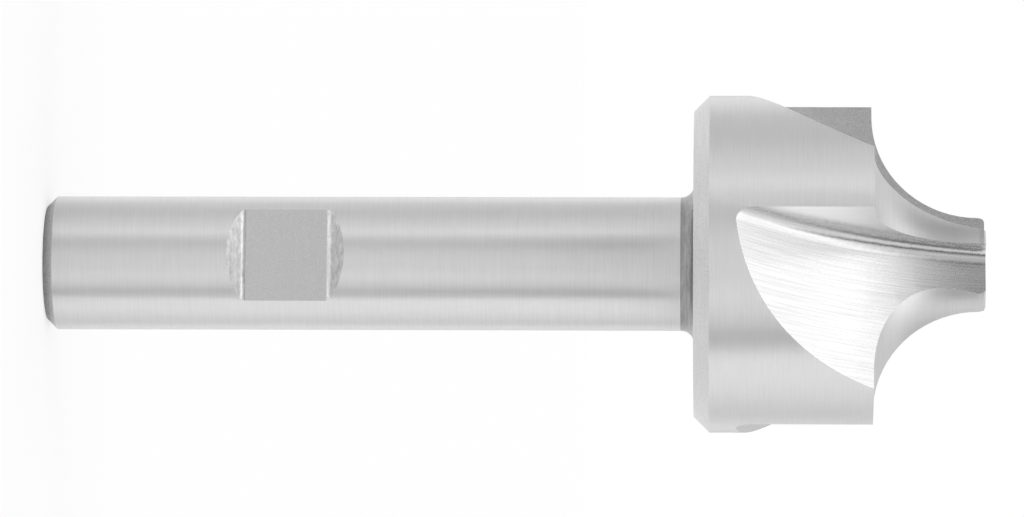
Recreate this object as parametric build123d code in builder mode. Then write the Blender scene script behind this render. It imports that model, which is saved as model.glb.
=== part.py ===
from build123d import *
import os
from math import asin, cos, degrees, radians, sin, sqrt, tan

# Corner rounding end mill, ground from one bar of tool steel, in millimetres.
# It stands on its shank end: the axis is Z, and the origin is the middle of the end face.

overall_length = 84.4
shank_diameter = 12.0
shank_chamfer = 0.9

head_diameter = 30.3
head_length = 26.1
head_back_chamfer = 1.4
neck_fillet = 1.2

# The concave quarter circle that each tooth rounds a corner with.
corner_radius = 9.5
corner_lead = 1.05
tip_length = 0.6
tip_taper = 10.0
tip_bevel_height = 0.15
tip_bevel_width = 0.3

# The driving flat across the shank, with a ramp at each end.
flat_height = 10.35
flat_length = 7.8
flat_center = 21.8
flat_ramp_angle = 50.0
flat_corner_fillet = 0.6

# The flutes: a rake face parallel to the axis, and a floor left by the rim of a wheel.
tooth_count = 4
flat_to_tooth_angle = 8.0
rake_offset = 0.55
wheel_radius = 44.0
core_radius = 1.9
flute_length = 22.4
flute_corner_radius = 1.2
floor_tilt = 4.0

# The backs of the teeth fall away behind the edge, over this much of a turn.
relief_offset = 1.15
relief_sweep = 72.0

# How far a grinding tool reaches past the steel that it removes.
overrun = 1.0

shank_radius = shank_diameter / 2
head_radius = head_diameter / 2
head_base = overall_length - head_length
shoulder = overall_length - tip_length - corner_radius
lead_radius = head_radius - corner_lead
neck_radius = lead_radius - corner_radius
tip_radius = neck_radius - tip_length * tan(radians(tip_taper))
bevel_slope = tip_bevel_width / tip_bevel_height
bevel_end_radius = tip_radius - bevel_slope * (tip_bevel_height + overrun)

# The first tooth: the way out from the axis, the way it cuts, and the plane of its rake
# face, where x is the distance out and y is the height.
first_heading = 270 - flat_to_tooth_angle
outward = Vector(cos(radians(first_heading)), sin(radians(first_heading)), 0)
ahead = Vector(-sin(radians(first_heading)), cos(radians(first_heading)), 0)
rake_plane = Plane(origin=ahead * -rake_offset, x_dir=outward, z_dir=-ahead)

# The flute floor is an arc through its start on the head and its end at the tip.
floor_start = Vector(head_radius, overall_length - flute_length)
floor_end = Vector(core_radius, overall_length)
floor_chord = floor_end - floor_start
floor_half = floor_chord.length / 2
floor_normal = Vector(floor_chord.Y, -floor_chord.X).normalized()
center_distance = sqrt(wheel_radius**2 - floor_half**2)
wheel_center = (floor_start + floor_end) / 2 + floor_normal * center_distance
first_angle = degrees(asin((floor_start.Y - wheel_center.Y) / wheel_radius))
last_angle = degrees(asin((floor_end.Y - wheel_center.Y) / wheel_radius))
margin_angle = degrees(overrun / wheel_radius)

# What the wheel takes out in front of one tooth.
with BuildPart() as flute_cut:
    with BuildSketch(rake_plane) as flute_profile:
        with BuildLine():
            floor_arc = CenterArc(
                (wheel_center.X, wheel_center.Y),
                wheel_radius,
                180 - first_angle + margin_angle,
                -(last_angle - first_angle) - 2 * margin_angle,
            )
            Polyline(
                floor_arc @ 1,
                (head_radius + 2 * overrun, (floor_arc @ 1).Y),
                (head_radius + 2 * overrun, (floor_arc @ 0).Y),
                floor_arc @ 0,
            )
        make_face()
    extrude(amount=head_diameter, dir=ahead + outward * tan(radians(floor_tilt)))
    rims = flute_cut.edges().filter_by(GeomType.CIRCLE).sort_by(Axis((0, 0, 0), ahead))
    fillet(rims[0], flute_corner_radius)

# What the form wheel takes off the back of one tooth: the tooth's own outline, turned
# about an axis that lies ahead of the cutter's.
with BuildPart() as relief_cut:
    with BuildSketch(rake_plane) as removed_outline:
        with BuildLine():
            Polyline(
                (bevel_end_radius, overall_length + overrun),
                (tip_radius, overall_length - tip_bevel_height),
                (neck_radius, shoulder + corner_radius),
            )
            RadiusArc((neck_radius, shoulder + corner_radius), (lead_radius, shoulder), -corner_radius)
            Polyline(
                (lead_radius, shoulder),
                (head_radius + overrun, shoulder),
                (head_radius + overrun, overall_length + overrun),
                (bevel_end_radius, overall_length + overrun),
            )
        make_face()
    revolve(axis=Axis(ahead * relief_offset, (0, 0, 1)), revolution_arc=-relief_sweep)


with BuildPart() as end_mill:
    # The turned blank: shank, neck fillet and a plain round head.
    with BuildSketch(Plane.XZ) as blank_profile:
        with BuildLine():
            Polyline(
                (0, 0),
                (shank_radius, 0),
                (shank_radius, head_base),
                (head_radius, head_base),
                (head_radius, overall_length),
                (0, overall_length),
                close=True,
            )
        make_face()
        end_corner = blank_profile.vertices().group_by(Axis.Y)[0].sort_by(Axis.X)[-1]
        chamfer(end_corner, shank_chamfer)
        neck_corner = blank_profile.vertices().group_by(Axis.Y)[-2].sort_by(Axis.X)[0]
        fillet(neck_corner, neck_fillet)
        head_corner = blank_profile.vertices().group_by(Axis.Y)[-2].sort_by(Axis.X)[-1]
        chamfer(head_corner, head_back_chamfer)
    revolve(axis=Axis.Z)

    # The driving flat faces -Y. Its floor runs into both ramps on a small radius.
    flat_depth = shank_diameter - flat_height
    cut_height = flat_depth + overrun
    ramp_run = cut_height / tan(radians(flat_ramp_angle))
    flat_floor = shank_radius - flat_height
    with BuildSketch(Plane.YZ.offset(-head_radius)) as flat_cut:
        with BuildLine():
            Polyline(
                (flat_floor, flat_center - flat_length / 2),
                (flat_floor, flat_center + flat_length / 2),
                (flat_floor - cut_height, flat_center + flat_length / 2 + ramp_run),
                (flat_floor - cut_height, flat_center - flat_length / 2 - ramp_run),
                close=True,
            )
        make_face()
        fillet(flat_cut.vertices().group_by(Axis.X)[-1], flat_corner_fillet)
    extrude(amount=head_diameter, mode=Mode.SUBTRACT)

    # The flutes and the form ground backs, one for each tooth.
    with PolarLocations(0, tooth_count):
        add(relief_cut.part, mode=Mode.SUBTRACT)
    with PolarLocations(0, tooth_count):
        add(flute_cut.part, mode=Mode.SUBTRACT)

end_mill.part.label = "end_mill"
os.makedirs("parts", exist_ok=True)
export_step(end_mill.part, "parts/end_mill.step")
print("volume", end_mill.part.volume, "box", end_mill.part.bounding_box(), "solids", len(end_mill.solids()))
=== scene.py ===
# %% [markdown]
# # A corner rounding end mill
# The tool is ground from one bar of tool steel. The solid model carries its true form, so
# this lesson gives the steel its finish, lights it like a catalogue picture and points a
# long lens at it.

# %% The frame
import math

import bpy
import numpy as np
from mathutils import Matrix, Vector


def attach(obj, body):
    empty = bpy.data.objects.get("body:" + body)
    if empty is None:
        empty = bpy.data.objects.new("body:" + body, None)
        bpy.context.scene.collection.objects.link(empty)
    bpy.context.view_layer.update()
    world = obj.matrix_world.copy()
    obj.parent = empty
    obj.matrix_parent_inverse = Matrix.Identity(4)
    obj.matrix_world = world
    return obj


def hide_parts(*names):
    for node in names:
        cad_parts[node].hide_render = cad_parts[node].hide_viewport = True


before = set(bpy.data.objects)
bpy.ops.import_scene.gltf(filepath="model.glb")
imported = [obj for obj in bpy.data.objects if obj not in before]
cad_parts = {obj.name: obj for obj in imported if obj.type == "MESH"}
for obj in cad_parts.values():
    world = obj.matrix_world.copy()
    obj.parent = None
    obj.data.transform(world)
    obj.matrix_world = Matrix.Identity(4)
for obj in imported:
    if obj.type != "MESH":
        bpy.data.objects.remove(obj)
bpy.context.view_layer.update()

MM = 0.001

# %% [markdown]
# ## Colours and nodes
# Colours are written as they look on a screen and turned to linear light by one function.
# One more small function adds a shader node with its settings and its links.


# %% Helpers
def linear(hex_colour, alpha=1.0):
    """sRGB hex to linear light: up to 0.04045 c / 12.92, above it ((c + 0.055) / 1.055) to the power 2.4."""
    parts = np.array([int(hex_colour[i:i + 2], 16) / 255 for i in (1, 3, 5)])
    light = np.where(parts <= 0.04045, parts / 12.92, ((parts + 0.055) / 1.055) ** 2.4)
    return (*light.tolist(), alpha)


def add_node(tree, kind, settings=None, **sockets):
    """Adds a node, sets its properties, then sets or links each input: by name, or by place as in0, in1."""
    node = tree.nodes.new(kind)
    for key, value in (settings or {}).items():
        setattr(node, key, value)
    for key, value in sockets.items():
        by_place = key.startswith("in") and key[2:].isdigit()
        socket = node.inputs[int(key[2:])] if by_place else node.inputs[key.replace("_", " ")]
        if isinstance(value, bpy.types.NodeSocket):
            tree.links.new(value, socket)
        else:
            socket.default_value = value
    return node


# %% [markdown]
# ## The tool's own sizes
# A cutter has a different finish on each ground face, because each was made by another
# wheel. To tell them apart, the lesson repeats the few sizes, in millimetres, that give the
# faces their equations. The flutes repeat every quarter turn, so a point is first turned
# back onto the first tooth.

# %% Sizes
SHANK_R = 6.0
HEAD_R = 15.15
HEAD_BASE = 58.3
SHOULDER = 74.3
TOTAL = 84.4

TEETH = 4
TOOTH_PITCH = 2 * math.pi / TEETH
FIRST_HEADING = math.radians(270 - 8)
RAKE_OFFSET = 0.55
RELIEF_OFFSET = 1.15
CORNER_R = 9.5
LEAD_R = HEAD_R - 1.05
TIP_TAPER = math.tan(math.radians(10.0))
BEVEL_WIDTH = 0.3

WHEEL_R = 44.0
FLUTE_START = np.array([HEAD_R, TOTAL - 22.4])
FLUTE_END = np.array([1.9, TOTAL])

chord = FLUTE_END - FLUTE_START
half = np.hypot(*chord) / 2
square_to_chord = np.array([chord[1], -chord[0]]) / (2 * half)
WHEEL_CENTRE = (FLUTE_START + FLUTE_END) / 2 + square_to_chord * math.sqrt(WHEEL_R**2 - half**2)
print("wheel centre, mm:", WHEEL_CENTRE.round(2))


def tooth_frame(x, y):
    """Turns points back to the first tooth: out = along its rake face, ahead = the way it cuts."""
    angle = np.arctan2(y, x) - FIRST_HEADING
    radius = np.hypot(x, y)
    results = []
    for tooth in range(TEETH):
        swing = angle - tooth * TOOTH_PITCH
        results.append((radius * np.cos(swing), radius * np.sin(swing)))
    return results


def off_the_back(out, ahead, z):
    """How far a point lies off a tooth's back.

    Its radius about the offset axis, less the rake face's own offset, is set against the tooth's
    outline: a quarter circle up to the tip, and above it a tapered line with a bevel.
    """
    offset = RAKE_OFFSET + RELIEF_OFFSET
    turned = np.sqrt(np.maximum(out**2 + (ahead - RELIEF_OFFSET) ** 2 - offset**2, 0))
    above_arc = z - SHOULDER - CORNER_R
    arc = np.abs(np.hypot(turned - LEAD_R, above_arc) - CORNER_R)
    tip = np.abs(turned - (LEAD_R - CORNER_R) + above_arc * TIP_TAPER)
    return np.where(above_arc > 0, np.maximum(tip - BEVEL_WIDTH, 0), arc)


# %% [markdown]
# ## Faces by finish
# The solid's mesh is copied, so that the original stays as it is, and each triangle of the
# copy gets the material of the face that its centre and normal fit.

# %% Sorting the faces
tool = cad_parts["end_mill"]
mesh = tool.data.copy()
steel = bpy.data.objects.new("ground_cutter", mesh)
bpy.context.collection.objects.link(steel)
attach(steel, "root")
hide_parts("end_mill")

count = len(mesh.polygons)
centre = np.zeros(count * 3)
normal = np.zeros(count * 3)
mesh.polygons.foreach_get("center", centre)
mesh.polygons.foreach_get("normal", normal)
x, y, z = (centre.reshape(-1, 3) / MM).T
nx, ny, nz = normal.reshape(-1, 3).T
radius = np.hypot(x, y)
face_heading = np.arctan2(y, x)

# A face is square to a direction when its normal's share of that direction passes SQUARE.
SQUARE = 0.99
CLOSE_MM = 0.02
NECK_FROM = HEAD_BASE - 1.2
CHAMFER_TO = HEAD_BASE + 1.35
HEAD_FROM = HEAD_BASE + 1.5
FLAT_FROM = 10
FLAT_TO = 35

KINDS = 9
ROUND, FLAT, RAMP, NECK, CHAMFER, RAKE, FLOOR, FLANK, END = range(KINDS)
kind = np.full(count, ROUND)
inside_shank = (z < NECK_FROM) & (radius < SHANK_R - 0.03) & (z > FLAT_FROM) & (z < FLAT_TO)
kind[inside_shank & (ny < -SQUARE)] = FLAT
kind[inside_shank & (ny >= -SQUARE)] = RAMP
kind[(z > NECK_FROM) & (z < HEAD_BASE + 0.05) & (radius < HEAD_R - 1.0)] = NECK
kind[(z > HEAD_BASE + 0.01) & (z < CHAMFER_TO) & (nz < -0.5)] = CHAMFER
kind[(z < 1.0) & (nz < -0.5)] = CHAMFER
kind[nz < -SQUARE] = END

facing_out = (nx * x + ny * y) / np.maximum(radius, 0.1)
still_round = (radius > HEAD_R - 0.1) & (facing_out > SQUARE)
cut_in_head = (z > HEAD_FROM) & ~still_round
kind[cut_in_head] = FLOOR
for out, ahead in tooth_frame(x, y):
    on_back = (z > SHOULDER - 0.01) & (ahead < -RAKE_OFFSET) & (off_the_back(out, ahead, z) < 0.06)
    kind[cut_in_head & (out > 0) & on_back] = FLANK
    on_rake = (np.abs(ahead + RAKE_OFFSET) < CLOSE_MM) & (np.abs(nz) < 0.05)
    kind[cut_in_head & (out > 0) & on_rake] = RAKE
kind[(np.abs(z - SHOULDER) < CLOSE_MM) & (nz > SQUARE)] = FLANK
kind[(z > TOTAL - CLOSE_MM) & (nz > 0.9)] = END
print("faces of each kind:", np.bincount(kind, minlength=KINDS).tolist())

# %% [markdown]
# ## The lay of the marks
# Each wheel leaves marks that run one way: round the shank, along the flute floors, and
# round the backs of the teeth. Object coordinates can't follow that, so every face corner
# stores its place in millimetres along the marks, across them, and in depth.

# %% Lay
corners = len(mesh.loops)
corner_vertex = np.zeros(corners, np.int32)
mesh.loops.foreach_get("vertex_index", corner_vertex)
vertex_place = np.zeros(len(mesh.vertices) * 3)
mesh.vertices.foreach_get("co", vertex_place)
corner_x, corner_y, corner_z = (vertex_place.reshape(-1, 3) / MM)[corner_vertex].T
face_corners = np.zeros(count, np.int32)
mesh.polygons.foreach_get("loop_total", face_corners)
face_of_corner = np.repeat(np.arange(count), face_corners)
corner_kind = kind[face_of_corner]
corner_radius = np.hypot(corner_x, corner_y)

# Round faces: the marks follow the angle. A corner's angle is taken near its own face's, so
# that no triangle spans the place where angles jump from a half turn to minus a half turn.
middle = face_heading[face_of_corner]
swing = (np.arctan2(corner_y, corner_x) - middle + math.pi) % (2 * math.pi) - math.pi
along = (middle + swing) * corner_radius
across = corner_z.copy()
depth = corner_radius.copy()

plane_corner = (corner_kind == FLAT) | (corner_kind == RAMP) | (corner_kind == END)
along[plane_corner] = corner_x[plane_corner]
depth[plane_corner] = corner_y[plane_corner]

# Flute floors: the marks follow the wheel's rim, as the angle at its centre times its radius.
FLOOR_AHEAD = math.radians(35)
own_tooth = np.round((face_heading - FIRST_HEADING - FLOOR_AHEAD) / TOOTH_PITCH)[face_of_corner]
heading = FIRST_HEADING + own_tooth * TOOTH_PITCH
corner_out = corner_x * np.cos(heading) + corner_y * np.sin(heading)
corner_ahead = corner_y * np.cos(heading) - corner_x * np.sin(heading)
rim_angle = np.arctan2(corner_z - WHEEL_CENTRE[1], WHEEL_CENTRE[0] - corner_out)
floor_corner = corner_kind == FLOOR
along[floor_corner] = (rim_angle * WHEEL_R)[floor_corner]
across[floor_corner] = corner_ahead[floor_corner]
depth[floor_corner] = 0

rake_corner = corner_kind == RAKE
along[rake_corner] = corner_z[rake_corner]
across[rake_corner] = corner_radius[rake_corner]
depth[rake_corner] = 0

lay = mesh.attributes.new("lay", "FLOAT_VECTOR", "CORNER")
lay.data.foreach_set("vector", np.stack([along, across, depth], axis=1).ravel().astype(np.float32))
print("lay spans, mm:", along.min().round(1), along.max().round(1))

# %% [markdown]
# ## Ground tool steel
# Every face is bare steel. What differs is how coarse the wheel was, and the neck, whose darker
# colour is painted shade for the crease under the head. Marks of a few hundredths of a millimetre
# are too fine to show, so they are drawn several times as wide. A finer grain on top gives the
# sparkle that a wheel's grit leaves where light grazes it. Marks round the axis also smear highlights along it,
# which the shader's anisotropy does.

# %% Steel finishes
GRAIN_MM = 0.14
NOISE_LOW = 0.3
NOISE_HIGH = 0.7
ROUGHNESS_SPREAD = 0.15
QUARTER_TURN = 0.25


def ground_steel(name, colour, roughness, mark_mm, length_mm, depth_mm, streak, grain, anisotropy=0.0):
    """Bare steel: the marks are noise of the lay, divided by a mark's length along it and its width across."""
    material = bpy.data.materials.new(name)
    material.use_nodes = True
    tree = material.node_tree
    tree.nodes.clear()
    place = add_node(tree, "ShaderNodeAttribute", {"attribute_name": "lay"}).outputs["Vector"]
    scale = (1 / length_mm, 1 / mark_mm, 1 / length_mm)
    drawn = add_node(tree, "ShaderNodeMapping", Vector=place, Scale=scale).outputs["Vector"]
    marks = add_node(tree, "ShaderNodeTexNoise", Vector=drawn, Scale=1.0, Detail=4.0,
                     Roughness=0.7).outputs["Fac"]
    solid = add_node(tree, "ShaderNodeTexCoord").outputs["Object"]
    grit = add_node(tree, "ShaderNodeTexNoise", Vector=solid, Scale=1 / (GRAIN_MM * MM),
                    Detail=2.0).outputs["Fac"]
    relief = add_node(tree, "ShaderNodeMath", {"operation": "MULTIPLY_ADD"},
                      in0=grit, in1=grain, in2=marks).outputs[0]
    bump = add_node(tree, "ShaderNodeBump", Strength=1.0, Distance=depth_mm * MM,
                    Height=relief).outputs["Normal"]
    shade = add_node(tree, "ShaderNodeMapRange", Value=marks, From_Min=NOISE_LOW, From_Max=NOISE_HIGH,
                     To_Min=1.0 - streak, To_Max=1.0 + streak).outputs["Result"]
    tint = add_node(tree, "ShaderNodeVectorMath", {"operation": "SCALE"},
                    in0=linear(colour)[:3], Scale=shade).outputs["Vector"]
    rough = add_node(tree, "ShaderNodeMapRange", Value=grit, From_Min=NOISE_LOW, From_Max=NOISE_HIGH,
                     To_Min=roughness * (1 - ROUGHNESS_SPREAD),
                     To_Max=roughness * (1 + ROUGHNESS_SPREAD)).outputs["Result"]
    shader = add_node(tree, "ShaderNodeBsdfPrincipled", Base_Color=tint, Metallic=1.0, Roughness=rough,
                      Anisotropic=anisotropy, Normal=bump)
    if anisotropy:
        shader.inputs["Anisotropic Rotation"].default_value = QUARTER_TURN
        around = add_node(tree, "ShaderNodeTangent", {"direction_type": "RADIAL", "axis": "Z"})
        tree.links.new(around.outputs["Tangent"], shader.inputs["Tangent"])
    add_node(tree, "ShaderNodeOutputMaterial", Surface=shader.outputs["BSDF"])
    return material


# Each row: colour, roughness, then a mark's width, length and depth in millimetres, how much
# it shades the steel, how deep the grain is beside it, and the anisotropy.
finishes = {
    ROUND: ground_steel("cylindrically_ground_steel", "#E8E8E8", 0.4, 0.12, 5.0, 0.0008, 0.04, 0.5, 0.95),
    FLAT: ground_steel("surface_ground_flat", "#CDCDCD", 0.3, 0.2, 3.0, 0.0006, 0.02, 0.3),
    RAMP: ground_steel("milled_ramp", "#E4E4E4", 0.4, 0.3, 0.8, 0.012, 0.25, 0.8),
    # The neck's steel is drawn far darker than the rest: its colour is painted shade for the crease between the
    # shank and the head.
    NECK: ground_steel("turned_neck", "#9A9A9A", 0.3, 0.22, 2.5, 0.010, 0.25, 0.3, 0.5),
    CHAMFER: ground_steel("turned_chamfer", "#D2D2D2", 0.3, 0.15, 4.0, 0.002, 0.06, 0.5),
    RAKE: ground_steel("ground_rake_face", "#F0F0F0", 0.22, 0.25, 4.0, 0.0006, 0.03, 0.3),
    FLOOR: ground_steel("ground_flute_floor", "#D4D4D4", 0.25, 0.14, 9.0, 0.0020, 0.14, 0.35),
    FLANK: ground_steel("form_ground_back", "#D4D4D4", 0.42, 0.2, 5.0, 0.0010, 0.04, 0.4),
    END: ground_steel("faced_end", "#C4C4C4", 0.3, 0.2, 2.0, 0.003, 0.1, 0.4),
}
mesh.materials.clear()
for number in range(KINDS):
    mesh.materials.append(finishes[number])
mesh.polygons.foreach_set("material_index", kind.astype(np.int32))
mesh.update()
print("finishes:", [material.name for material in mesh.materials])

# %% [markdown]
# ## Floor and background
# The tool stands on a plain white table. The camera sees it lit by itself for the most part,
# and by the studio for the rest, so that it stays white and keeps the tool's shadow.

# %% Table
TABLE_SIZE = 4
TABLE_GLOW = 0.7

bpy.ops.mesh.primitive_plane_add(size=TABLE_SIZE, location=(0, 0, 0))
table = bpy.context.object
table.name = "table"
paper = bpy.data.materials.new("white_table")
paper.use_nodes = True
tree = paper.node_tree
tree.nodes.clear()
matt = add_node(tree, "ShaderNodeBsdfDiffuse", Color=linear("#FFFFFF"))
white = add_node(tree, "ShaderNodeEmission", Color=linear("#FFFFFF"), Strength=1.0)
seen_by_camera = add_node(tree, "ShaderNodeLightPath").outputs["Is Camera Ray"]
glow = add_node(tree, "ShaderNodeMath", {"operation": "MULTIPLY"}, in0=seen_by_camera, in1=TABLE_GLOW).outputs[0]
sheet = add_node(tree, "ShaderNodeMixShader", in0=glow, in1=matt.outputs[0], in2=white.outputs[0])
add_node(tree, "ShaderNodeOutputMaterial", Surface=sheet.outputs[0])
table.data.materials.append(paper)
print("table, m:", TABLE_SIZE)

# %% [markdown]
# ## The camera
# A long lens 600 mm away looks at the side of the tool, turned on its side so that the
# shank lies to the left and the head to the right. It stands a little round from the
# driving flat and a little nearer the head.

# %% Camera
VIEW_DISTANCE = 600 * MM
AIM_HEIGHT = 41.9 * MM
AXIS_OFFSET = 0.47 * MM
AROUND = math.radians(9.6)
TOWARDS_HEAD = math.radians(2.0)
LEVEL_TURN = math.radians(0.13)
SENSOR_MM = 36
PICTURE_PIXELS = 1024
LENS_PIXELS = 6660

axis = Vector((0, 0, 1))
side = Vector((math.sin(AROUND), -math.cos(AROUND), 0))
towards = (side * math.cos(TOWARDS_HEAD) + axis * math.sin(TOWARDS_HEAD)).normalized()
level_right = (axis - towards * towards.z).normalized()
level_up = towards.cross(level_right)
right = level_right * math.cos(LEVEL_TURN) + level_up * math.sin(LEVEL_TURN)
up = level_up * math.cos(LEVEL_TURN) - level_right * math.sin(LEVEL_TURN)

camera = bpy.data.objects.new("camera", bpy.data.cameras.new("camera"))
bpy.context.collection.objects.link(camera)
camera.data.lens = LENS_PIXELS / PICTURE_PIXELS * SENSOR_MM
camera.data.sensor_width = SENSOR_MM
camera.data.clip_end = 10
spot = Vector((0, 0, AIM_HEIGHT)) + up * AXIS_OFFSET + towards * VIEW_DISTANCE
camera.matrix_world = Matrix((
    (right.x, up.x, towards.x, spot.x),
    (right.y, up.y, towards.y, spot.y),
    (right.z, up.z, towards.z, spot.z),
    (0, 0, 0, 1),
))
bpy.context.scene.camera = camera
print("lens, mm:", round(camera.data.lens, 1))

# %% [markdown]
# ## A white tent
# Bright metal shows its surroundings, so the picture is made by them. The tool stands in a
# tent of white cloth, which is the world here. Its brightness follows the angle round the
# tool's axis, counted in degrees from the lens towards the top of the picture. Square to the
# axis the cloth is dull about the lens and above it, with one dark seam below the lens.
# Nearer the ends of the tool it is brighter, most of all above the lens, and past that it
# has one bright level, which is what the flute shows.

# %% The tent
FULL_LEVEL = 2.5
END_FROM = 0.6
END_TO = 0.86
POLE_FROM = 0.78
POLE_TO = 0.9
POLE_LEVEL = 1.55
MIDDLE = [
    (-180, 0.7), (-145, 0.8), (-126, 0.5), (-110, 0.75), (-93, 1.0), (-66, 1.0), (-59, 0.03), (-49, 0.03),
    (-43, 0.6), (-20, 0.78), (-8, 0.58), (0, 0.62), (14, 0.5), (20, 0.46), (27, 0.26), (35, 0.14),
    (42, 0.18), (50, 0.5), (58, 1.0), (68, 0.7), (80, 0.65), (94, 0.4), (120, 0.4), (140, 0.75),
    (155, 0.9), (180, 0.7),
]
ENDS = [
    (-180, 0.8), (-140, 0.8), (-110, 1.1), (-66, 1.2), (-59, 0.1), (-49, 0.1), (-43, 1.1), (-34, 1.5),
    (-20, 1.1), (-8, 0.9), (0, 1.0), (10, 1.4), (25, 1.85), (72, 1.85), (88, 0.8), (125, 0.65),
    (150, 0.8), (180, 0.8),
]


def grey(level):
    """A level of light as a colour: the level over FULL_LEVEL, because a ramp's colours stay between 0 and 1."""
    return (level / FULL_LEVEL, level / FULL_LEVEL, level / FULL_LEVEL, 1)


def curve(tree, share, stops):
    """A curve of light: each stop's place is its angle plus 180, over 360, and its colour the grey of its level."""
    ramp = add_node(tree, "ShaderNodeValToRGB", Fac=share)
    points = ramp.color_ramp.elements
    while len(points) > 1:
        points.remove(points[-1])
    for index, (degrees_up, level) in enumerate(stops):
        place = (degrees_up + 180) / 360
        point = points[0] if index == 0 else points.new(place)
        point.position = place
        point.color = grey(level)
    return ramp.outputs["Color"]


world = bpy.data.worlds.new("studio")
bpy.context.scene.world = world
world.use_nodes = True
tree = world.node_tree
tree.nodes.clear()
way = add_node(tree, "ShaderNodeTexCoord").outputs["Generated"]
lens_part = add_node(tree, "ShaderNodeVectorMath", {"operation": "DOT_PRODUCT"},
                     in0=way, in1=tuple(side)).outputs["Value"]
up_part = add_node(tree, "ShaderNodeVectorMath", {"operation": "DOT_PRODUCT"},
                   in0=way, in1=tuple(side.cross(axis))).outputs["Value"]
angle = add_node(tree, "ShaderNodeMath", {"operation": "ARCTAN2"}, in0=up_part, in1=lens_part).outputs[0]
share = add_node(tree, "ShaderNodeMapRange", Value=angle, From_Min=-math.pi, From_Max=math.pi).outputs["Result"]
height = add_node(tree, "ShaderNodeSeparateXYZ", Vector=way).outputs["Z"]
steep = add_node(tree, "ShaderNodeMath", {"operation": "ABSOLUTE"}, in0=height).outputs[0]
share_end = add_node(tree, "ShaderNodeMapRange", {"interpolation_type": "SMOOTHSTEP"}, Value=steep,
                     From_Min=END_FROM, From_Max=END_TO).outputs["Result"]
cloth = add_node(tree, "ShaderNodeMix", {"data_type": "RGBA"}, in0=share_end,
                 in6=curve(tree, share, MIDDLE), in7=curve(tree, share, ENDS)).outputs[2]
share_pole = add_node(tree, "ShaderNodeMapRange", {"interpolation_type": "SMOOTHSTEP"}, Value=steep,
                      From_Min=POLE_FROM, From_Max=POLE_TO).outputs["Result"]
tent = add_node(tree, "ShaderNodeMix", {"data_type": "RGBA"}, in0=share_pole,
                in6=cloth, in7=grey(POLE_LEVEL)).outputs[2]
lit = add_node(tree, "ShaderNodeBackground", Color=tent, Strength=FULL_LEVEL)
backdrop = add_node(tree, "ShaderNodeBackground", Color=linear("#FFFFFF"), Strength=1.0)
seen_by_camera = add_node(tree, "ShaderNodeLightPath").outputs["Is Camera Ray"]
mixed = add_node(tree, "ShaderNodeMixShader", in0=seen_by_camera, in1=lit.outputs[0], in2=backdrop.outputs[0])
add_node(tree, "ShaderNodeOutputWorld", Surface=mixed.outputs[0])
print("tent stops:", len(MIDDLE), len(ENDS))

bpy.context.scene.view_settings.view_transform = "Standard"
